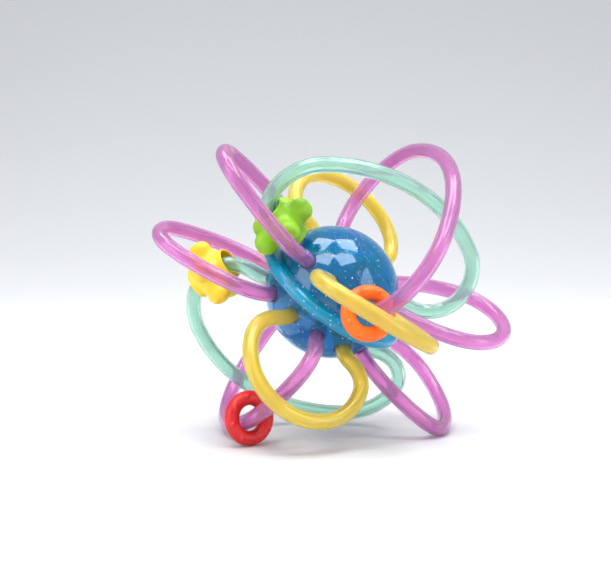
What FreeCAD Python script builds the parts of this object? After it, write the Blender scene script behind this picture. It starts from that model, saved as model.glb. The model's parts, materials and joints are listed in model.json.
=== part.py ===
"""Rattle ball with bendy tube loops: a teether toy in millimetres.

The toy frame has its origin at the middle of the ball: +Z is the ball's pole, +X points to the
front sockets and +Y to the right ones. The ring round the ball lies in the XY plane. Every
sub-part is built in that frame and then stood up by one Placement, with +Z up and with a lower
pink loop and the red ring touching the floor.
"""
import FreeCAD
import Part
import Sketcher
import math
import os

V = FreeCAD.Vector
X_AXIS = V(1, 0, 0)
Y_AXIS = V(0, 1, 0)
Z_AXIS = V(0, 0, 1)

# Driving dimensions: lengths in mm, angles in degrees.
SIZES = {
    # ball shells
    "ball_radius": 28.0,
    "shell_wall": 2.0,
    "socket_latitude": 22.5,
    "socket_count": 12,
    "socket_clearance": 0.3,
    "upper_row_shift": 10.0,
    # ring round the ball
    "ring_radius": 34.0,
    "ring_thickness": 5.0,
    "ring_bore_radius": 24.2,
    "ring_lip_height": 1.6,
    "ring_rim_round": 2.3,
    # hollow core and the pins that hold the tube ends
    "core_radius": 13.0,
    "core_wall": 1.5,
    "core_web_radius": 23.9,
    "core_web_thickness": 1.2,
    "pin_radius": 1.9,
    "pin_root_radius": 1.5,
    "pin_collar_radius": 2.7,
    "pin_collar_start": 13.6,
    "pin_neck_radius": 1.55,
    "pin_end": 28.6,
    # rattle balls
    "rattle_ball_radius": 2.0,
    "rattle_track_radius": 7.5,
    "rattle_ball_pitch": 36.0,
    "rattle_ball_count": 6,
    # flexible tube
    "tube_radius": 3.25,
    "tube_bore_radius": 2.0,
    "tube_inner_end": 15.5,
    "bend_corner": 31.0,
    "bend_reach": 4.0,
    # star beads
    "star_bore_radius": 5.75,
    "star_barrel_radius": 6.6,
    "star_length": 18.0,
    "star_belly_radius": 8.3,
    "star_lobe_centre": 8.2,
    "star_lobe_radial": 5.4,
    "star_lobe_side": 3.9,
    "star_lobe_axial": 5.6,
    # ring beads
    "ring_bead_radius": 8.0,
    "ring_bead_section": 3.25,
    # how the toy stands
    "stand_azimuth": -23.0,
    "stand_tilt": 39.0,
    "stand_spin": -62.5,
    "centre_x": -0.9,
    "centre_y": -0.54,
    "centre_height": 60.71,
}

# One row per loop: row of sockets (+1 upper, -1 lower), longitudes of its two sockets, distance
# of its widest point from the ball's middle, half width, reach, tilt out of the plane through
# the ball's middle, and lean towards the second socket.
LOOP_FIELDS = ("row", "first", "second", "shoulder", "half_width", "reach", "tilt", "lean")
LOOPS = {
    "pink_loop_upper_left": (1, 240, 300, 42, 21.5, 78, 8.5, 1.5),
    "pink_loop_lower_left": (-1, 240, 300, 42.5, 19, 77, 15.5, -2.5),
    "pink_loop_upper_right": (1, 60, 120, 55, 23, 76, 5.5, -9),
    "pink_loop_lower_right": (-1, 60, 120, 58, 30, 76.5, 18.5, 7.5),
    "pink_arch_upper": (1, 0, 180, 37, 49.5, 72.5, -5.5, -4.5),
    "pink_arch_lower": (-1, 0, 180, 25, 47, 72, -5, -1),
    "mint_arch_upper": (1, 90, 270, 27, 48, 58, 6, 0.5),
    "mint_arch_lower": (-1, 90, 270, 25, 48.5, 60.5, 9, -3),
    "yellow_loop_upper_front": (1, 330, 30, 49, 26.5, 65, 10, 0),
    "yellow_loop_lower_front": (-1, 330, 30, 40.5, 25.5, 65.5, -7, 5.5),
    "yellow_loop_upper_back": (1, 150, 210, 42, 26.5, 65.5, 1, -1.5),
    "yellow_loop_lower_back": (-1, 150, 210, 42, 26.5, 65.5, 5, 0),
}

# Each bead: its loop, the arc it slides on, how far along that arc its middle is (0 to 1), how
# far it hangs off the tube's middle line towards the arc's centre, how far it is turned away
# from the tube, and how far it is spun round its own bore.
BEAD_FIELDS = ("place", "inward", "turn", "spin")
BEADS = {
    "green_star": ("mint_arch_upper", "second_side", 0.19, 2.1, 0.0, 66.0),
    "yellow_star": ("mint_arch_lower", "second_side", 0.78, 2.1, 0.0, 0.0),
    "orange_ring": ("pink_arch_upper", "first_side", 0.25, -1.1, 12.0, 0.0),
    "red_ring": ("pink_arch_lower", "cap", 0.215, 1.1, -12.0, 0.0),
}

doc = FreeCAD.newDocument("rattle_ball")
sheet = doc.addObject("Spreadsheet::Sheet", "Sizes")


def fill_sheet():
    """Put every driving dimension in the sheet under its own alias."""
    rows = dict(SIZES)
    for name, values in LOOPS.items():
        rows.update({f"{name}_{field}": value for field, value in zip(LOOP_FIELDS, values)})
    for name, values in BEADS.items():
        rows.update({f"{name}_{field}": value for field, value in zip(BEAD_FIELDS, values[2:])})
    for row, (alias, value) in enumerate(rows.items(), start=1):
        sheet.set(f"A{row}", alias)
        sheet.set(f"B{row}", str(value))
        sheet.setAlias(f"B{row}", alias)
    doc.recompute()


def size(alias):
    """Read one driving dimension back from the sheet."""
    return float(sheet.get(alias))


def cell(alias):
    """The expression that binds a property to one driving dimension."""
    return f"Sizes.{alias}"


def standing():
    """The Placement that stands the toy frame up."""
    turn = FreeCAD.Rotation(Z_AXIS, size("stand_azimuth"))
    turn = turn * FreeCAD.Rotation(Y_AXIS, size("stand_tilt"))
    turn = turn * FreeCAD.Rotation(Z_AXIS, size("stand_spin"))
    return FreeCAD.Placement(V(size("centre_x"), size("centre_y"), size("centre_height")), turn)


def half_placement(row):
    """The stand of an upper (+1) or lower (-1) half, each modelled as an upper half."""
    if row > 0:
        own = FreeCAD.Rotation(Z_AXIS, size("upper_row_shift"))
    else:
        own = FreeCAD.Rotation(X_AXIS, 180)
    return standing() * FreeCAD.Placement(V(0, 0, 0), own)


def socket_direction(row, longitude):
    """Unit vector from the ball's middle to a socket."""
    latitude = math.radians(size("socket_latitude"))
    turn = math.radians(longitude + (size("upper_row_shift") if row > 0 else 0.0))
    flat = math.cos(latitude)
    return V(flat * math.cos(turn), flat * math.sin(turn), row * math.sin(latitude))


# ---------------------------------------------------------------- sketched bodies

def new_body(name):
    body = doc.addObject("PartDesign::Body", name)
    body.Label = name
    return body


def sketch_on(body, role, name):
    """An empty sketch on one of the body's own origin planes."""
    sketch = body.newObject("Sketcher::SketchObject", name)
    plane = next(item for item in body.Origin.OriginFeatures if item.Role == role)
    sketch.AttachmentSupport = [(plane, "")]
    sketch.MapMode = "FlatFace"
    return sketch


def closed_outline(sketch, points):
    """Straight edges through the points and back to the first one."""
    first = sketch.GeometryCount
    for start, end in zip(points, points[1:] + points[:1]):
        sketch.addGeometry(Part.LineSegment(V(*start, 0), V(*end, 0)))
    for index in range(len(points)):
        following = first + (index + 1) % len(points)
        sketch.addConstraint(Sketcher.Constraint("Coincident", first + index, 2, following, 1))


def revolve(body, sketch, name, axis="V_Axis", kind="PartDesign::Revolution"):
    feature = body.newObject(kind, name)
    feature.Profile = sketch
    feature.ReferenceAxis = (sketch, [axis])
    feature.Angle = 360
    return feature


def round_pattern(body, feature, name):
    """Repeat a feature once per socket round the pole."""
    pattern = body.newObject("PartDesign::PolarPattern", name)
    pattern.Originals = [feature]
    pole = next(item for item in body.Origin.OriginFeatures if item.Role == "Z_Axis")
    pattern.Axis = (pole, [""])
    pattern.Angle = 360
    pattern.setExpression("Occurrences", cell("socket_count"))
    body.Tip = pattern
    return pattern


def along_socket(distance, offset):
    """A point of the XZ plane at a distance along the socket's own axis and off to its side."""
    latitude = math.radians(size("socket_latitude"))
    return (distance * math.cos(latitude) - offset * math.sin(latitude),
            distance * math.sin(latitude) + offset * math.cos(latitude))


def radial_holes(body, inner, outer, radius, name):
    """Cut one round hole per socket, from one distance to another."""
    sketch = sketch_on(body, "XZ_Plane", name + "_outline")
    corners = [along_socket(inner, 0), along_socket(outer, 0),
               along_socket(outer, radius), along_socket(inner, radius)]
    closed_outline(sketch, corners)
    sketch.addGeometry(Part.LineSegment(V(*corners[0], 0), V(*corners[1], 0)), True)
    hole = revolve(body, sketch, name, axis="Axis0", kind="PartDesign::Groove")
    doc.recompute()
    return round_pattern(body, hole, name + "_pattern")


def dome_outline(sketch, inner, outer, base):
    """Half section of a dome between two spheres, above a flat base."""
    points = []
    for radius in (inner, outer):
        points.append((math.sqrt(radius ** 2 - base ** 2), base))
    rise = [math.asin(base / radius) for radius in (inner, outer)]
    arcs = [Part.ArcOfCircle(Part.Circle(V(0, 0, 0), Z_AXIS, radius), angle, math.pi / 2)
            for radius, angle in zip((inner, outer), rise)]
    sketch.addGeometry(arcs[0])
    sketch.addGeometry(arcs[1])
    sketch.addGeometry(Part.LineSegment(V(*points[0], 0), V(*points[1], 0)))
    sketch.addGeometry(Part.LineSegment(V(0, inner, 0), V(0, outer, 0)))


def half_shell(name, row):
    """One clear half of the ball: a dome with a ring of holes for the tubes."""
    body = new_body(name)
    outer = size("ball_radius")
    inner = outer - size("shell_wall")
    sketch = sketch_on(body, "XZ_Plane", name + "_section")
    dome_outline(sketch, inner, outer, size("ring_thickness") / 2)
    revolve(body, sketch, name + "_dome")
    doc.recompute()
    hole = size("tube_radius") + size("socket_clearance")
    radial_holes(body, inner - 2, outer + 2, hole, name + "_sockets")
    body.Placement = half_placement(row)
    return body


def equator_ring():
    """The ring round the ball: a rounded rim outside and a thin lip that centres both domes."""
    body = new_body("equator_ring")
    sketch = sketch_on(body, "XZ_Plane", "ring_section")
    half = size("ring_thickness") / 2
    rim = size("ring_rim_round")
    outer = size("ring_radius")
    bore = size("ring_bore_radius")
    lip_outer = size("ball_radius") - size("shell_wall") - 0.5
    lip_top = half + size("ring_lip_height")
    corner = math.sqrt(0.5)
    flat = outer - rim
    step = half - rim
    segments = [
        ((bore, -lip_top), (lip_outer, -lip_top)), ((lip_outer, -lip_top), (lip_outer, -half)),
        ((lip_outer, -half), (flat, -half)), ((outer, -step), (outer, step)),
        ((flat, half), (lip_outer, half)), ((lip_outer, half), (lip_outer, lip_top)),
        ((lip_outer, lip_top), (bore, lip_top)), ((bore, lip_top), (bore, -lip_top)),
    ]
    for start, end in segments:
        sketch.addGeometry(Part.LineSegment(V(*start, 0), V(*end, 0)))
    for side in (-1, 1):
        ends = [(flat, side * half), (outer, side * step)]
        middle = (flat + rim * corner, side * (step + rim * corner))
        sketch.addGeometry(Part.Arc(V(*ends[0], 0), V(*middle, 0), V(*ends[1], 0)))
    revolve(body, sketch, "ring_turn")
    body.Placement = standing()
    return body


def core_half(name, row):
    """Half of the hollow core: a dome with sockets for the pins, and a web out to the ring."""
    body = new_body(name)
    outer = size("core_radius")
    inner = outer - size("core_wall")
    web = size("core_web_thickness")
    sketch = sketch_on(body, "XZ_Plane", name + "_section")
    rise = math.asin(web / outer)
    inner_arc = Part.ArcOfCircle(Part.Circle(V(0, 0, 0), Z_AXIS, inner), 0, math.pi / 2)
    outer_arc = Part.ArcOfCircle(Part.Circle(V(0, 0, 0), Z_AXIS, outer), rise, math.pi / 2)
    sketch.addGeometry(inner_arc)
    sketch.addGeometry(outer_arc)
    step = outer * math.cos(rise)
    edge = size("core_web_radius")
    for start, end in (((inner, 0), (edge, 0)), ((edge, 0), (edge, web)),
                       ((edge, web), (step, web)), ((0, inner), (0, outer))):
        sketch.addGeometry(Part.LineSegment(V(*start, 0), V(*end, 0)))
    revolve(body, sketch, name + "_dome")
    doc.recompute()
    radial_holes(body, inner - 1, outer + 1, size("pin_root_radius"), name + "_pin_holes")
    body.Placement = half_placement(row)
    return body


def tube_pins(name, row):
    """Twelve barbed pins: pressed into the core, each holds one tube end."""
    body = new_body(name)
    body.AllowCompound = True
    sketch = sketch_on(body, "XZ_Plane", name + "_section")
    root = size("pin_root_radius")
    collar = size("pin_collar_radius")
    barb = size("pin_radius")
    neck = size("pin_neck_radius")
    start = size("core_radius") - size("core_wall")
    collar_start = size("pin_collar_start")
    collar_end = size("tube_inner_end")
    end = size("pin_end")
    barb_length = (end - collar_end) / 4
    profile = [(start, 0), (end, 0), (end, neck)]
    for index in range(4, 0, -1):
        foot = collar_end + (index - 1) * barb_length
        profile += [(foot, barb), (foot, neck)] if index > 1 else [(foot, barb)]
    profile += [(collar_end, collar), (collar_start, collar), (collar_start, root), (start, root)]
    closed_outline(sketch, [along_socket(*point) for point in profile])
    sketch.addGeometry(Part.LineSegment(V(*along_socket(start, 0), 0),
                                        V(*along_socket(end, 0), 0)), True)
    pin = revolve(body, sketch, name + "_turn", axis="Axis0")
    doc.recompute()
    round_pattern(body, pin, name + "_pattern")
    body.Placement = half_placement(row)
    return body


# ---------------------------------------------------------------- rattle balls

def rattle_beads():
    """Loose balls in the core, gathered at its lowest point."""
    count = int(size("rattle_ball_count"))
    middle = -size("stand_spin")
    track = size("rattle_track_radius")
    balls = []
    for index in range(count):
        turn = math.radians(middle + (index - (count - 1) / 2) * size("rattle_ball_pitch"))
        ball = doc.addObject("Part::Sphere", f"rattle_ball_{index + 1}")
        ball.setExpression("Radius", cell("rattle_ball_radius"))
        ball.Placement.Base = V(track * math.cos(turn), track * math.sin(turn), 0)
        balls.append(ball)
    group = doc.addObject("Part::Compound", "rattle_beads")
    group.Links = balls
    group.Label = "rattle_beads"
    group.Placement = standing()
    return group


# ---------------------------------------------------------------- tube loops

def oval_radii(half_width, height):
    """Shoulder and crown radii of the four-centre oval with these half axes."""
    long_half = max(half_width, height)
    short_half = min(half_width, height)
    if math.isclose(long_half, short_half):
        return long_half, long_half
    diagonal = math.hypot(long_half, short_half)
    gap = (long_half - short_half) * diagonal
    square = long_half ** 2 + short_half ** 2
    tight = (square - gap) / (2 * long_half)
    wide = (square + gap) / (2 * short_half)
    return (tight, wide) if half_width >= height else (wide, tight)


class LoopPath:
    """The middle line of one tube loop.

    It leaves each socket straight, bends into the loop's own plane, swings out on a side arc to
    the loop's widest point and closes over the top in an oval cap of two radii.
    """

    def __init__(self, name):
        value = {field: size(f"{name}_{field}") for field in LOOP_FIELDS}
        self.row = int(value["row"])
        self.sockets = [socket_direction(self.row, value[key]) for key in ("first", "second")]
        middle = (self.sockets[0] + self.sockets[1]).normalize()
        across = (self.sockets[1] - self.sockets[0]).normalize()
        out_of_plane = middle.cross(across)
        spans_pole = abs(value["first"] - value["second"]) == 180
        if not spans_pole and out_of_plane.z * self.row > 0:
            out_of_plane = out_of_plane * -1
        tilt = math.radians(value["tilt"])
        lean = math.radians(value["lean"])
        up = middle * math.cos(tilt) + out_of_plane * math.sin(tilt)
        self.axis = up * math.cos(lean) + across * math.sin(lean)
        self.side = across * math.cos(lean) - up * math.sin(lean)
        self.normal = self.axis.cross(self.side)
        corner = size("bend_corner")
        depth = corner * self.sockets[0].dot(middle)
        self.origin = middle * depth
        self.widest = value["shoulder"] - depth
        self.half_width = value["half_width"]
        self.height = value["reach"] - value["shoulder"]
        self.shoulder_radius, self.crown_radius = oval_radii(self.half_width, self.height)
        self.side_arcs = [self.side_arc(index) for index in (0, 1)]

    def at(self, along, across):
        """A point of the loop's plane, in the toy frame."""
        return self.origin + self.axis * along + self.side * across

    def side_arc(self, index):
        """Centre, radius and end angles of the arc from a root bend to the widest point."""
        sign = -1 if index == 0 else 1
        corner = self.sockets[index] * size("bend_corner") - self.origin
        along = corner.dot(self.axis)
        out = corner.dot(self.side) * sign
        reach = size("bend_reach")
        run = self.widest - along
        spread = self.half_width - out
        radius = (run ** 2 + spread ** 2 - reach ** 2) / (2 * spread)
        centre = (self.widest, self.half_width - radius)
        gap = math.hypot(along - centre[0], out - centre[1])
        start = math.atan2(out - centre[1], along - centre[0]) - math.acos(radius / gap)
        if start < -math.pi / 2:
            start += 2 * math.pi
        return {"sign": sign, "centre": centre, "radius": radius, "start": start,
                "end": math.pi / 2}

    def on_arc(self, arc, angle):
        along = arc["centre"][0] + arc["radius"] * math.cos(angle)
        across = arc["centre"][1] + arc["radius"] * math.sin(angle)
        return self.at(along, arc["sign"] * across)

    def cap_join(self):
        """Angle, seen from both centres, at which the shoulder meets the crown."""
        shoulder = (self.widest, self.half_width - self.shoulder_radius)
        crown = (self.widest + self.height - self.crown_radius, 0.0)
        if math.isclose(self.shoulder_radius, self.crown_radius):
            return math.pi / 4
        towards = 1 if self.shoulder_radius > self.crown_radius else -1
        return math.atan2(towards * (crown[1] - shoulder[1]), towards * (crown[0] - shoulder[0]))

    def half_edges(self, index):
        """Edges from the tube's inner end to the crown, and the crown's first point."""
        socket = self.sockets[index]
        corner = socket * size("bend_corner")
        reach = size("bend_reach")
        arc = self.side_arcs[index]
        bend_start = socket * (size("bend_corner") - reach)
        bend_end = self.on_arc(arc, arc["start"])
        leave = (bend_end - corner).normalize()
        half_turn = socket.getAngle(leave) / 2
        bend_radius = reach / math.tan(half_turn)
        inward = (leave - socket).normalize() * bend_radius * (1 / math.cos(half_turn) - 1)
        shoulder = {"sign": arc["sign"], "radius": self.shoulder_radius,
                    "centre": (self.widest, self.half_width - self.shoulder_radius)}
        join = self.cap_join()
        widest = self.on_arc(arc, math.pi / 2)
        crown_start = self.on_arc(shoulder, join)
        edges = [
            Part.LineSegment(socket * size("tube_inner_end"), bend_start),
            Part.Arc(bend_start, corner + inward, bend_end),
            Part.Arc(bend_end, self.on_arc(arc, (arc["start"] + arc["end"]) / 2), widest),
            Part.Arc(widest, self.on_arc(shoulder, (math.pi / 2 + join) / 2), crown_start),
        ]
        return edges, crown_start

    def wire(self):
        first, crown_start = self.half_edges(0)
        second, crown_end = self.half_edges(1)
        crown = Part.Arc(crown_start, self.at(self.widest + self.height, 0), crown_end)
        return Part.Wire([edge.toShape() for edge in first + [crown] + second[::-1]])

    def bead_track(self, arc_name):
        """Centre, radius, start angle, end angle and side of the arc that a bead slides on."""
        if arc_name == "cap":
            return {"sign": -1, "centre": (self.widest, 0.0), "radius": self.half_width,
                    "start": math.pi / 2, "end": -math.pi / 2}
        return self.side_arcs[0 if arc_name == "first_side" else 1]


def tube_loop(name):
    """A hollow tube swept along the loop's middle line."""
    path = LoopPath(name)
    spine = doc.addObject("Part::Feature", name + "_path")
    spine.Shape = path.wire()
    count = len(spine.Shape.Edges)
    start = path.sockets[0] * size("tube_inner_end")
    facing = FreeCAD.Rotation(Z_AXIS, path.sockets[0])
    sweeps = []
    for part_name, radius in (("outside", "tube_radius"), ("bore", "tube_bore_radius")):
        circle = doc.addObject("Part::Circle", f"{name}_{part_name}_circle")
        circle.setExpression("Radius", cell(radius))
        circle.Placement = FreeCAD.Placement(start, facing)
        sweep = doc.addObject("Part::Sweep", f"{name}_{part_name}")
        sweep.Sections = [circle]
        sweep.Spine = (spine, [f"Edge{index + 1}" for index in range(count)])
        sweep.Solid = True
        sweep.Frenet = False
        sweeps.append(sweep)
    tube = doc.addObject("Part::Cut", name)
    tube.Base, tube.Tool = sweeps
    tube.Label = name
    tube.Placement = standing()
    return tube


# ---------------------------------------------------------------- beads

def star_bead(name):
    """A puffy five-lobed star on a short barrel with a wide bore, its axis along Z."""
    barrel = doc.addObject("Part::Cylinder", name + "_barrel")
    barrel.setExpression("Radius", cell("star_barrel_radius"))
    barrel.setExpression("Height", cell("star_length"))
    barrel.Placement.Base = V(0, 0, -size("star_length") / 2)
    belly = doc.addObject("Part::Ellipsoid", name + "_belly")
    belly.setExpression("Radius1", cell("star_length") + " * 0.45")
    belly.setExpression("Radius2", cell("star_belly_radius"))
    belly.setExpression("Radius3", cell("star_belly_radius"))
    pieces = [barrel, belly]
    for index in range(5):
        turn = math.radians(72 * index)
        lobe = doc.addObject("Part::Ellipsoid", f"{name}_lobe_{index + 1}")
        lobe.setExpression("Radius1", cell("star_lobe_axial"))
        lobe.setExpression("Radius2", cell("star_lobe_radial"))
        lobe.setExpression("Radius3", cell("star_lobe_side"))
        centre = V(math.cos(turn), math.sin(turn), 0) * size("star_lobe_centre")
        lobe.Placement = FreeCAD.Placement(centre, FreeCAD.Rotation(Z_AXIS, 72 * index))
        pieces.append(lobe)
    body = doc.addObject("Part::MultiFuse", name + "_solid")
    body.Shapes = pieces
    bore = doc.addObject("Part::Cylinder", name + "_bore")
    bore.setExpression("Radius", cell("star_bore_radius"))
    bore.setExpression("Height", cell("star_length") + " + 4")
    bore.Placement.Base = V(0, 0, -size("star_length") / 2 - 2)
    star = doc.addObject("Part::Cut", name)
    star.Base = body
    star.Tool = bore
    return star


def ring_bead(name):
    """A plain round ring, its axis along Z."""
    ring = doc.addObject("Part::Torus", name)
    ring.setExpression("Radius1", cell("ring_bead_radius"))
    ring.setExpression("Radius2", cell("ring_bead_section"))
    return ring


def thread_bead(bead, name):
    """Put a bead on its loop's arc, its bore along the tube."""
    loop_name, arc_name = BEADS[name][:2]
    path = LoopPath(loop_name)
    arc = path.bead_track(arc_name)
    angle = arc["start"] + (arc["end"] - arc["start"]) * size(name + "_place")
    centre = path.at(arc["centre"][0], arc["sign"] * arc["centre"][1])
    on_tube = path.on_arc(arc, angle)
    outward = (on_tube - centre).normalize()
    along = path.normal.cross(outward).normalize()
    own = FreeCAD.Rotation(outward, path.normal, along, "ZXY")
    own = own * FreeCAD.Rotation(X_AXIS, size(name + "_turn"))
    own = own * FreeCAD.Rotation(Z_AXIS, size(name + "_spin"))
    middle = on_tube - outward * size(name + "_inward")
    bead.Label = name
    bead.Placement = standing() * FreeCAD.Placement(middle, own)
    world = standing()
    pivot = world.multVec(centre)
    hinge = world.Rotation.multVec(path.normal)
    print(name, "slides about", [round(c, 3) for c in pivot], "along", [round(c, 5) for c in hinge])
    return bead


def check_document():
    """Stop if any object of the document failed."""
    doc.recompute()
    for item in doc.Objects:
        if "Invalid" in item.State or "Error" in item.State:
            raise RuntimeError(f"{item.Name} failed: {item.State}")


def write_parts(parts):
    os.makedirs("parts", exist_ok=True)
    for part in parts:
        if part.Shape.isNull() or not part.Shape.isValid():
            raise RuntimeError(f"{part.Label} has no valid shape")
    for part in parts:
        part.Shape.exportStep(os.path.join("parts", part.Label + ".step"))


fill_sheet()
parts = [
    half_shell("upper_shell", 1),
    half_shell("lower_shell", -1),
    equator_ring(),
    core_half("core_upper", 1),
    core_half("core_lower", -1),
    tube_pins("tube_pins_upper", 1),
    tube_pins("tube_pins_lower", -1),
    rattle_beads(),
]
parts += [tube_loop(name) for name in LOOPS]
parts += [thread_bead(star_bead(name), name) for name in ("green_star", "yellow_star")]
parts += [thread_bead(ring_bead(name), name) for name in ("orange_ring", "red_ring")]
check_document()
write_parts(parts)
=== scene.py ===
"""Rattle ball with bendy tube loops and loose beads: materials, bead shapes, studio and camera."""

import json
import math

import bpy
import numpy as np
from mathutils import Matrix, Vector


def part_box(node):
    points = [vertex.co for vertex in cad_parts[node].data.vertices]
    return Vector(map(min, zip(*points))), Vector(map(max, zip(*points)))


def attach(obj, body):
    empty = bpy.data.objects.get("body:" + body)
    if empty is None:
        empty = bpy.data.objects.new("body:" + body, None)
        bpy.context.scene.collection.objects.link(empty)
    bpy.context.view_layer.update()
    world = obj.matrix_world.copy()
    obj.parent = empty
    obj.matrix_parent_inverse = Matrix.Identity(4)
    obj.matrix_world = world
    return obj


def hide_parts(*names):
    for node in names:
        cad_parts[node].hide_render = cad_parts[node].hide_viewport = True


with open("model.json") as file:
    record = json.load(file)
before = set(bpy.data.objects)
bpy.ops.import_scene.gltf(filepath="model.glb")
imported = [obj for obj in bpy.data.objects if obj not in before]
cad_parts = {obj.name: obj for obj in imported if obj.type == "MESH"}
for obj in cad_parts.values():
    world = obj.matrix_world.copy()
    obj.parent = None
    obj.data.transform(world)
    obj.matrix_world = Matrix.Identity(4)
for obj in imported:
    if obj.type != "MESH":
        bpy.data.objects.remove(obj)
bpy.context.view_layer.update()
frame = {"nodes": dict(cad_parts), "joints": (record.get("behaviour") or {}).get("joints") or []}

MM = 0.001
BALL = sum(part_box("equator_ring"), Vector()) / 2

# Camera: its place seen from the ball's middle, its pitch and its lens.
CAMERA_OFFSET = Vector((-0.0112, -0.5436, 0.0511))
CAMERA_PITCH = math.radians(84.9)
LENS_MM = 76.36
SENSOR_MM = 36.0

# Star bead, in mm: a barrel along Z with rounded lips, a bulging belly, and five knobs that reach
# out from knob_from to knob_to, each with a dimple in its end. Thicknesses are radii. A squash
# below 1 makes a knob longer along the bore. A blend is how widely two shapes run into each other.
STAR = {
    "length": 18.0, "bore": 5.75, "barrel": 6.75, "lip": 0.45,
    "belly": 8.1, "belly_half": 8.6, "belly_blend": 1.5,
    "knobs": 5, "knob_from": 4.0, "knob_to": 10.8, "knob_base": 4.3, "knob_tip": 4.0,
    "knob_squash": 0.8, "knob_blend": 0.6, "root_blend": 2.3,
    "dimple": 2.2, "dimple_off": 1.65, "dimple_blend": 0.9,
}
STAR_MESH = {"around": 240, "rows": 130, "lip_rows": 9, "bore_rows": 24}
# The star's surface is looked for along rays from its bore line, between these reaches in mm.
RAY = {"start": STAR["barrel"] - 0.2, "end": 15.0, "step": 0.02}
# A distance in mm that stands for no surface at all.
FAR = 1e3

# Ring bead, in mm: a round section with small nubs on both faces.
RING = {
    "radius": 8.2, "section": 3.05,
    "nubs": 8, "nub_ring": 9.3, "nub_size": 1.3, "nub_height": 0.8,
}
RING_MESH = {"around": 240, "section": 72}
# How the red ring rests on its tube: degrees about this line, then mm up, to stay off the floor.
RED_LEAN = {"lean": 12.0, "hinge": (0.82, -0.02, -0.57), "lift": 0.35}

PINK = (0.90, 0.52, 0.82)
MINT = (0.74, 0.97, 0.88)
YELLOW = (1.0, 0.84, 0.18)
BLUE = (0.0, 0.48, 0.86)
CYAN = (0.0, 0.54, 0.90)
PAPER = ((0.70, 0.71, 0.73), (0.73, 0.74, 0.76))
AIR = (0.95, 0.97, 1.0)
AIR_STRENGTH = 0.62

# White glitter, coarse and fine: spacing and speck radius in mm, and the share of cells with one.
GLITTER = (
    {"spacing": 1.8, "speck": 0.27, "share": 0.4},
    {"spacing": 1.0, "speck": 0.15, "share": 0.25},
)
GLITTER_WHITE = (0.9, 0.97, 1.0)

# Floor and lights, in metres and watts. The panes hang above like a window; places are seen from
# the ball's middle.
FLOOR = {"width": 12.0, "front": -6.0, "back": 2.2, "bend": 1.6, "top": 3.0, "bend_rows": 24}
PANE_SIZE = (0.52, 0.42)
PANE_POWER = 4.6
PANE_SIDES = (("left", -0.24), ("right", 0.34))
PANE_ROWS = ((-0.38, 0.95), (0.16, 1.02))


# ---------------------------------------------------------------- material nodes

class Finish:
    """A material made of one Principled shader, with helpers for the nodes that feed it."""

    def __init__(self, name):
        self.material = bpy.data.materials.new(name)
        self.material.use_nodes = True
        self.tree = self.material.node_tree
        self.shader = self.tree.nodes["Principled BSDF"]
        self.output = self.tree.nodes["Material Output"]
        self.place = self.tree.nodes.new("ShaderNodeTexCoord").outputs["Object"]

    def node(self, kind, inputs=(), **settings):
        """A new node. Each of its inputs takes another node's output or a constant."""
        node = self.tree.nodes.new(kind)
        for name, value in settings.items():
            setattr(node, name, value)
        for socket, source in inputs:
            if isinstance(source, bpy.types.NodeSocket):
                self.tree.links.new(source, node.inputs[socket])
            else:
                node.inputs[socket].default_value = source
        return node

    def noise(self, size_mm, detail=2.0):
        """Noise between 0 and 1 whose features are about this many mm across."""
        scale = 1.0 / (size_mm * MM)
        return self.node("ShaderNodeTexNoise", [
            ("Vector", self.place), ("Scale", scale), ("Detail", detail)]).outputs["Fac"]

    def span(self, value, low, high, start=0.3, end=0.7):
        """Stretch a value from start..end to low..high."""
        return self.node("ShaderNodeMapRange", [
            ("Value", value), ("From Min", start), ("From Max", end),
            ("To Min", low), ("To Max", high)]).outputs["Result"]

    def blend(self, share, first, second):
        """Mix two colours."""
        def colour(value):
            return value if isinstance(value, bpy.types.NodeSocket) else (*value, 1.0)
        return self.node("ShaderNodeMix", [
            ("Factor", share), (6, colour(first)), (7, colour(second))],
            data_type="RGBA").outputs[2]

    def either(self, share, first, second):
        """Mix two numbers."""
        return self.node("ShaderNodeMix", [
            ("Factor", share), (2, first), (3, second)]).outputs[0]

    def compute(self, operation, first, second):
        """One operation of the Math node on two numbers."""
        return self.node("ShaderNodeMath", [(0, first), (1, second)],
                         operation=operation).outputs[0]

    def bump(self, height, distance_mm, strength):
        """Fine relief on the surface."""
        bump = self.node("ShaderNodeBump", [
            ("Height", height), ("Distance", distance_mm * MM), ("Strength", strength)])
        self.tree.links.new(bump.outputs["Normal"], self.shader.inputs["Normal"])

    def feed(self, socket, source):
        """Set an input of the shader, from a node's output or a constant."""
        if isinstance(source, bpy.types.NodeSocket):
            self.tree.links.new(source, self.shader.inputs[socket])
        else:
            self.shader.inputs[socket].default_value = source

    def absorb(self, colour, density):
        """Colour that deepens with the thickness of the wall."""
        volume = self.node("ShaderNodeVolumeAbsorption", [
            ("Color", (*colour, 1.0)), ("Density", density)])
        self.tree.links.new(volume.outputs["Volume"], self.output.inputs["Volume"])


def shade(colour, factor):
    """The same colour, darker or lighter."""
    return tuple(min(1.0, channel * factor) for channel in colour)


def soft_tube(name, colour, deep, density, clear=0.86):
    """Flexible see-through tube: slightly milky, with a soft gloss."""
    finish = Finish(name)
    cloud = finish.span(finish.noise(size_mm=14.0), 0.0, 1.0)
    finish.feed("Base Color", finish.blend(cloud, colour, shade(colour, 0.9)))
    finish.feed("Transmission Weight", clear)
    finish.feed("Roughness", finish.span(finish.noise(size_mm=3.0), 0.07, 0.14))
    finish.feed("IOR", 1.42)
    finish.feed("Subsurface Weight", 0.4)
    finish.feed("Subsurface Radius", (1.0, 0.8, 0.8))
    finish.feed("Subsurface Scale", 0.0015)
    finish.bump(finish.noise(size_mm=4.0), distance_mm=0.012, strength=0.3)
    finish.absorb(deep, density)
    return finish.material


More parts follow.
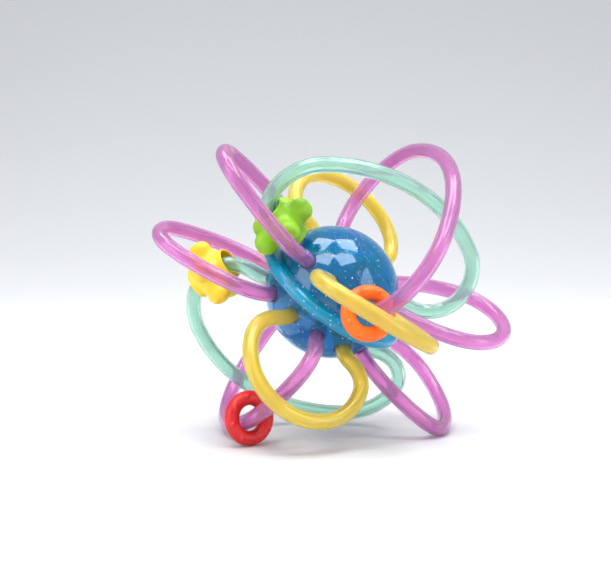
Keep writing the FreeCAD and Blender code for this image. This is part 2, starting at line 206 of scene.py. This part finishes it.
def glitter_specks(finish, spacing, speck, share):
    """1 in round specks scattered through the plastic, 0 between them."""
    cells = finish.node("ShaderNodeTexVoronoi", [
        ("Vector", finish.place), ("Scale", 1.0 / (spacing * MM)), ("Randomness", 1.0)])
    edge = speck / spacing
    near = finish.span(cells.outputs["Distance"], 1.0, 0.0, edge * 0.8, edge)
    lot = finish.node("ShaderNodeSeparateColor", [("Color", cells.outputs["Color"])]).outputs[0]
    chosen = finish.compute("GREATER_THAN", lot, 1.0 - share)
    return finish.compute("MULTIPLY", near, chosen)


def glitter_plastic(name, colour, clear, deep, density):
    """Hard clear plastic with white glitter set in it."""
    finish = Finish(name)
    specks = [glitter_specks(finish, **grain) for grain in GLITTER]
    glitter = finish.compute("MAXIMUM", *specks)
    cloud = finish.span(finish.noise(size_mm=22.0), 0.0, 1.0)
    body = finish.blend(cloud, colour, shade(colour, 0.8))
    gloss = finish.span(finish.noise(size_mm=6.0), 0.03, 0.08)
    finish.feed("Base Color", finish.blend(glitter, body, GLITTER_WHITE))
    finish.feed("Transmission Weight", finish.either(glitter, clear, 0.0))
    finish.feed("Roughness", finish.either(glitter, gloss, 0.3))
    finish.feed("IOR", 1.52)
    finish.bump(finish.noise(size_mm=9.0), distance_mm=0.03, strength=0.3)
    finish.absorb(deep, density)
    return finish.material


def hard_plastic(name, colour, clear):
    """Moulded inner parts, seen only through the ball."""
    finish = Finish(name)
    cloud = finish.span(finish.noise(size_mm=8.0), 0.0, 1.0)
    finish.feed("Base Color", finish.blend(cloud, colour, shade(colour, 0.8)))
    finish.feed("Transmission Weight", clear)
    finish.feed("Roughness", finish.span(finish.noise(size_mm=2.0), 0.2, 0.35))
    finish.bump(finish.noise(size_mm=1.0), distance_mm=0.02, strength=0.4)
    return finish.material


def rubber(name, colour, deep):
    """Satin teether rubber with a faint moulded grain."""
    finish = Finish(name)
    cloud = finish.span(finish.noise(size_mm=7.0, detail=3.0), 0.0, 1.0)
    finish.feed("Base Color", finish.blend(cloud, colour, deep))
    finish.feed("Roughness", finish.span(finish.noise(size_mm=1.2), 0.34, 0.46))
    finish.feed("Subsurface Weight", 0.25)
    finish.feed("Subsurface Radius", (1.0, 0.6, 0.25))
    finish.feed("Subsurface Scale", 0.002)
    finish.feed("IOR", 1.45)
    finish.feed("Coat Weight", 0.15)
    finish.feed("Coat Roughness", 0.25)
    finish.bump(finish.noise(size_mm=0.5), distance_mm=0.03, strength=0.35)
    return finish.material


def paint(names, material):
    """Give these CAD nodes a material and smooth shading."""
    for name in names:
        node = frame["nodes"][name]
        for slot in node.material_slots:
            slot.material = material
        for face in node.data.polygons:
            face.use_smooth = True


# ---------------------------------------------------------------- bead meshes

def bead_frame(bead):
    """Middle of a bead and its own axes: Z along the bore, X towards a knob if it has any."""
    mesh = frame["nodes"][bead].data
    mesh.calc_loop_triangles()
    points = np.array([vertex.co for vertex in mesh.vertices])
    faces = np.array([triangle.vertices for triangle in mesh.loop_triangles])
    areas = np.array([triangle.area for triangle in mesh.loop_triangles])
    centres = points[faces].mean(axis=1)
    middle = (centres * areas[:, None]).sum(axis=0) / areas.sum()

    # The bore runs along the circle that the bead slides on.
    joint = next(item for item in frame["joints"] if item["child"] == bead)
    normal = np.array(joint["axis"])
    spoke = middle - np.array(joint["pos_m"])
    along = np.cross(normal, spoke - normal * spoke.dot(normal))
    along /= np.linalg.norm(along)
    if "ring" in bead:
        # A ring leans, so its bore is the direction in which it is flattest.
        spread = (centres - middle) * np.sqrt(areas)[:, None]
        flat = np.linalg.eigh(spread.T @ spread)[1][:, 0]
        along = flat * np.sign(flat.dot(along))

    across = points - middle
    across -= np.outer(across @ along, along)
    knob = across[np.linalg.norm(across, axis=1).argmax()]
    knob /= np.linalg.norm(knob)
    turn = Matrix(np.column_stack([knob, np.cross(along, knob), along]).tolist())
    return Matrix.Translation(Vector(middle)) @ turn.to_4x4()


def smooth_least(first, second, width):
    """Smallest of two distances, rounded where they meet."""
    share = np.clip(0.5 + 0.5 * (second - first) / width, 0.0, 1.0)
    return second + (first - second) * share - width * share * (1.0 - share)


def star_distance(x, y, z):
    """About how many mm a point is outside the star bead, negative inside it."""
    reach = np.hypot(x, y)
    barrel = reach - STAR["barrel"]
    squash = STAR["belly"] / STAR["belly_half"]
    belly = np.sqrt(reach ** 2 + (z * squash) ** 2) - STAR["belly"]
    body = smooth_least(barrel, belly, STAR["belly_blend"])

    length = STAR["knob_to"] - STAR["knob_from"]
    tip = STAR["knob_to"] + STAR["knob_tip"]
    knobs = np.full_like(x, FAR)
    dimples = np.full_like(x, FAR)
    for index in range(STAR["knobs"]):
        turn = 2 * math.pi / STAR["knobs"] * index
        out = x * math.cos(turn) + y * math.sin(turn)
        side = -x * math.sin(turn) + y * math.cos(turn)
        share = np.clip((out - STAR["knob_from"]) / length, 0.0, 1.0)
        radius = STAR["knob_base"] + (STAR["knob_tip"] - STAR["knob_base"]) * share
        beside = out - STAR["knob_from"] - share * length
        away = np.sqrt(beside ** 2 + side ** 2 + (z * STAR["knob_squash"]) ** 2)
        knobs = smooth_least(knobs, away - radius, STAR["knob_blend"])
        past = np.sqrt((out - tip - STAR["dimple_off"]) ** 2 + side ** 2 + z ** 2)
        dimples = np.minimum(dimples, past - STAR["dimple"])
    solid = smooth_least(body, knobs, STAR["root_blend"])
    return -smooth_least(-solid, dimples, STAR["dimple_blend"])


def star_outside(angles, heights):
    """How many mm the star's surface is from its bore line, for each height and angle."""
    reach = np.arange(RAY["start"], RAY["end"], RAY["step"])
    outside = np.empty((len(heights), len(angles)))
    for row, height in enumerate(heights):
        x = np.outer(np.cos(angles), reach)
        y = np.outer(np.sin(angles), reach)
        inside = star_distance(x, y, np.full_like(x, height)) <= 0
        last = inside.shape[1] - 1 - inside[:, ::-1].argmax(axis=1)
        value = star_distance(np.cos(angles) * reach[last], np.sin(angles) * reach[last],
                              np.full(len(angles), height))
        outside[row] = reach[last] - value
    return outside


def tube_faces(rings, around):
    """Quads of a closed surface made of rings that meet end to end."""
    faces = []
    for ring in range(rings):
        following = (ring + 1) % rings
        for step in range(around):
            beside = (step + 1) % around
            faces.append((ring * around + step, ring * around + beside,
                          following * around + beside, following * around + step))
    return faces


def new_piece(name, points, faces, place, material, node):
    """A bead in place of its CAD node, from points in mm in the bead's own axes."""
    mesh = bpy.data.meshes.new(name)
    mesh.from_pydata([tuple(point) for point in points * MM], [], faces)
    mesh.transform(place)
    for face in mesh.polygons:
        face.use_smooth = True
    mesh.materials.append(material)
    piece = bpy.data.objects.new(name, mesh)
    bpy.context.scene.collection.objects.link(piece)
    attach(piece, node)
    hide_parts(node)


def star_bead(name, node, material, spin):
    """A star bead, spun by some degrees about its bore from where the CAD has it."""
    around = STAR_MESH["around"]
    lip = STAR["lip"]
    half = STAR["length"] / 2
    angles = np.linspace(0, 2 * math.pi, around, endpoint=False)
    heights = np.linspace(-half + lip, half - lip, STAR_MESH["rows"])
    outside = star_outside(angles, heights)

    # The profile goes up the outside, over the top lip, down the bore and round the bottom lip.
    half_wall = (outside[-1].mean() - STAR["bore"]) / 2
    middle = STAR["bore"] + half_wall
    bend = np.linspace(0, math.pi, STAR_MESH["lip_rows"])[1:-1]
    profile = list(zip(outside, heights))
    for turn in bend:
        profile.append((np.full(around, middle + half_wall * math.cos(turn)),
                        half - lip + lip * math.sin(turn)))
    for height in np.linspace(half - lip, -half + lip, STAR_MESH["bore_rows"]):
        profile.append((np.full(around, STAR["bore"]), height))
    for turn in bend:
        profile.append((np.full(around, middle - half_wall * math.cos(turn)),
                        -half + lip - lip * math.sin(turn)))

    points = np.array([
        (radius[step] * math.cos(angles[step]), radius[step] * math.sin(angles[step]), height)
        for radius, height in profile for step in range(around)])
    faces = [tuple(reversed(face)) for face in tube_faces(len(profile), around)]
    place = bead_frame(node) @ Matrix.Rotation(math.radians(spin), 4, "Z")
    new_piece(name, points, faces, place, material, node)


def ring_bead(name, node, material, slot, lean=0.0, hinge=(1.0, 0.0, 0.0), lift=0.0):
    """A ring bead, leaning by some degrees about the hinge line and lifted by some mm."""
    place = bead_frame(node)
    middle = Matrix.Translation(place.translation)
    tilt = Matrix.Rotation(math.radians(lean), 4, Vector(hinge))
    place = Matrix.Translation((0, 0, lift * MM)) @ middle @ tilt @ middle.inverted() @ place

    around, section = RING_MESH["around"], RING_MESH["section"]
    step = 2 * math.pi / RING["nubs"]
    points = []
    for turn in np.linspace(0, 2 * math.pi, section, endpoint=False):
        for angle in np.linspace(0, 2 * math.pi, around, endpoint=False):
            reach = RING["radius"] + RING["section"] * math.cos(turn)
            offset = (angle + step / 2) % step - step / 2
            gap = math.hypot(reach * offset, reach - RING["nub_ring"]) / RING["nub_size"]
            rise = RING["nub_height"] * (0.5 + 0.5 * math.cos(math.pi * min(gap, 1.0)))
            radius = RING["section"] + rise
            out = RING["radius"] + radius * math.cos(turn)
            points.append((out * math.cos(angle), out * math.sin(angle),
                           radius * math.sin(turn)))
    faces = tube_faces(section, around)
    new_piece(name, np.array(points), faces, place, material, node)


# ---------------------------------------------------------------- studio

def studio_floor():
    """Pale floor that curves up into a backdrop."""
    bend_from = FLOOR["back"] - FLOOR["bend"]
    profile = [(FLOOR["front"], 0.0), (0.0, 0.0), (bend_from, 0.0)]
    for turn in np.linspace(0, math.pi / 2, FLOOR["bend_rows"])[1:]:
        profile.append((bend_from + FLOOR["bend"] * math.sin(turn),
                        FLOOR["bend"] - FLOOR["bend"] * math.cos(turn)))
    profile.append((FLOOR["back"], FLOOR["top"]))
    half = FLOOR["width"] / 2
    points = [(x, y, z) for y, z in profile for x in (-half, half)]
    faces = [(2 * row, 2 * row + 1, 2 * row + 3, 2 * row + 2) for row in range(len(profile) - 1)]
    mesh = bpy.data.meshes.new("studio_floor")
    mesh.from_pydata(points, [], faces)
    for face in mesh.polygons:
        face.use_smooth = True
    finish = Finish("studio_paper")
    finish.feed("Base Color", finish.blend(finish.noise(size_mm=400.0), *PAPER))
    finish.feed("Roughness", 0.6)
    mesh.materials.append(finish.material)
    floor = bpy.data.objects.new("studio_floor", mesh)
    bpy.context.scene.collection.objects.link(floor)


def softbox(name, place, size, power):
    """A soft rectangular light that faces the ball."""
    light = bpy.data.lights.new(name, "AREA")
    light.shape = "RECTANGLE"
    light.size, light.size_y = size
    light.energy = power
    lamp = bpy.data.objects.new(name, light)
    lamp.location = BALL + Vector(place)
    lamp.rotation_euler = (BALL - lamp.location).to_track_quat("-Z", "Y").to_euler()
    bpy.context.scene.collection.objects.link(lamp)


def studio():
    """Floor, four panes overhead, a fill light on each side and a pale world."""
    studio_floor()
    for row, (deep, height) in enumerate(PANE_ROWS):
        for side, across in PANE_SIDES:
            softbox(f"pane_{row}_{side}", (across, deep, height), PANE_SIZE, PANE_POWER)
    softbox("fill_left", (-1.0, -0.7, 0.45), size=(0.7, 0.9), power=5.6)
    softbox("fill_right", (1.0, -0.5, 0.35), size=(0.5, 0.8), power=3.8)
    world = bpy.data.worlds.new("studio_air")
    world.use_nodes = True
    background = world.node_tree.nodes["Background"]
    background.inputs["Color"].default_value = (*AIR, 1.0)
    background.inputs["Strength"].default_value = AIR_STRENGTH
    bpy.context.scene.world = world
    bpy.context.scene.view_settings.view_transform = "Standard"


def camera():
    """The camera, a little above the ball's middle and pitched down."""
    lens = bpy.data.cameras.new("camera")
    lens.lens = LENS_MM
    lens.sensor_width = SENSOR_MM
    lens.sensor_fit = "HORIZONTAL"
    eye = bpy.data.objects.new("camera", lens)
    eye.location = BALL + CAMERA_OFFSET
    eye.rotation_euler = (CAMERA_PITCH, 0.0, 0.0)
    bpy.context.scene.collection.objects.link(eye)
    bpy.context.scene.camera = eye


# ---------------------------------------------------------------- the toy

def starts(prefix):
    """CAD nodes whose names start with this prefix."""
    return [name for name in frame["nodes"] if name.startswith(prefix)]


paint(["upper_shell", "lower_shell"],
      glitter_plastic("blue_glitter", BLUE, clear=0.78, deep=(0.0, 0.58, 0.90), density=210.0))
paint(["equator_ring"],
      glitter_plastic("cyan_glitter", CYAN, clear=0.5, deep=(0.05, 0.75, 0.95), density=60.0))
paint(starts("core_"), hard_plastic("core_blue", (0.0, 0.13, 0.40), clear=0.2))
paint(starts("tube_pins_"), hard_plastic("pin_plastic", (0.25, 0.45, 0.65), clear=0.0))
paint(["rattle_beads"], hard_plastic("rattle_white", (0.85, 0.86, 0.9), clear=0.0))
paint(starts("pink_"),
      soft_tube("pink_tube_plastic", PINK, deep=(0.92, 0.30, 0.86), density=150.0))
paint(starts("mint_"),
      soft_tube("mint_tube_plastic", MINT, deep=(0.30, 0.92, 0.72), density=75.0))
paint(starts("yellow_loop"),
      soft_tube("yellow_tube_plastic", YELLOW, deep=(1.0, 0.86, 0.12), density=100.0, clear=0.7))

lime = rubber("lime_teether", (0.27, 0.56, 0.01), deep=(0.22, 0.48, 0.01))
lemon = rubber("lemon_teether", (0.95, 0.68, 0.03), deep=(0.88, 0.58, 0.02))
orange = rubber("orange_teether", (0.90, 0.17, 0.0), deep=(0.80, 0.12, 0.0))
red = rubber("red_teether", (0.68, 0.01, 0.012), deep=(0.55, 0.006, 0.01))
star_bead("lime_star", "green_star", lime, spin=40.0)
star_bead("lemon_star", "yellow_star", lemon, spin=-20.0)
ring_bead("orange_teething_ring", "orange_ring", orange, "orange_rubber")
ring_bead("red_teething_ring", "red_ring", red, "red_rubber", **RED_LEAN)

studio()
camera()
